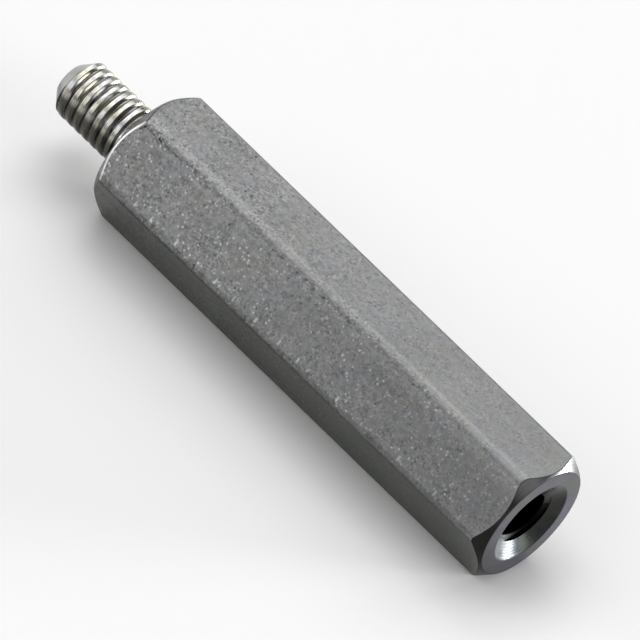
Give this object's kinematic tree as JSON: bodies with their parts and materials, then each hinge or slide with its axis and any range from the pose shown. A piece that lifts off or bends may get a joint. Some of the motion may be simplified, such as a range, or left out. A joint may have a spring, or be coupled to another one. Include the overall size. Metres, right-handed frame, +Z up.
{
  "type": "hex standoff",
  "caption": "Male-female hex standoff: a slim hexagonal metal spacer with a short threaded stud at one end and a countersunk tapped hole in the other.",
  "frame": {"origin": "centre of the shoulder face, on the common axis of the hex body and the stud", "axes": "+X along the axis, from the shoulder through the hex body to the tapped end, with the stud pointing along -X; +Z up, square to the upper flat, with the body lying on the opposite flat"},
  "size_m": [0.0297, 0.0068, 0.006],
  "materials": {
    "stainless_steel": "drawn hex bar with matte, finely speckled flats; turned end faces, chamfers and countersink; bright thread"
  },
  "bodies": {
    "root": {"hex_standoff": "stainless_steel"}
  },
  "joints": []
}
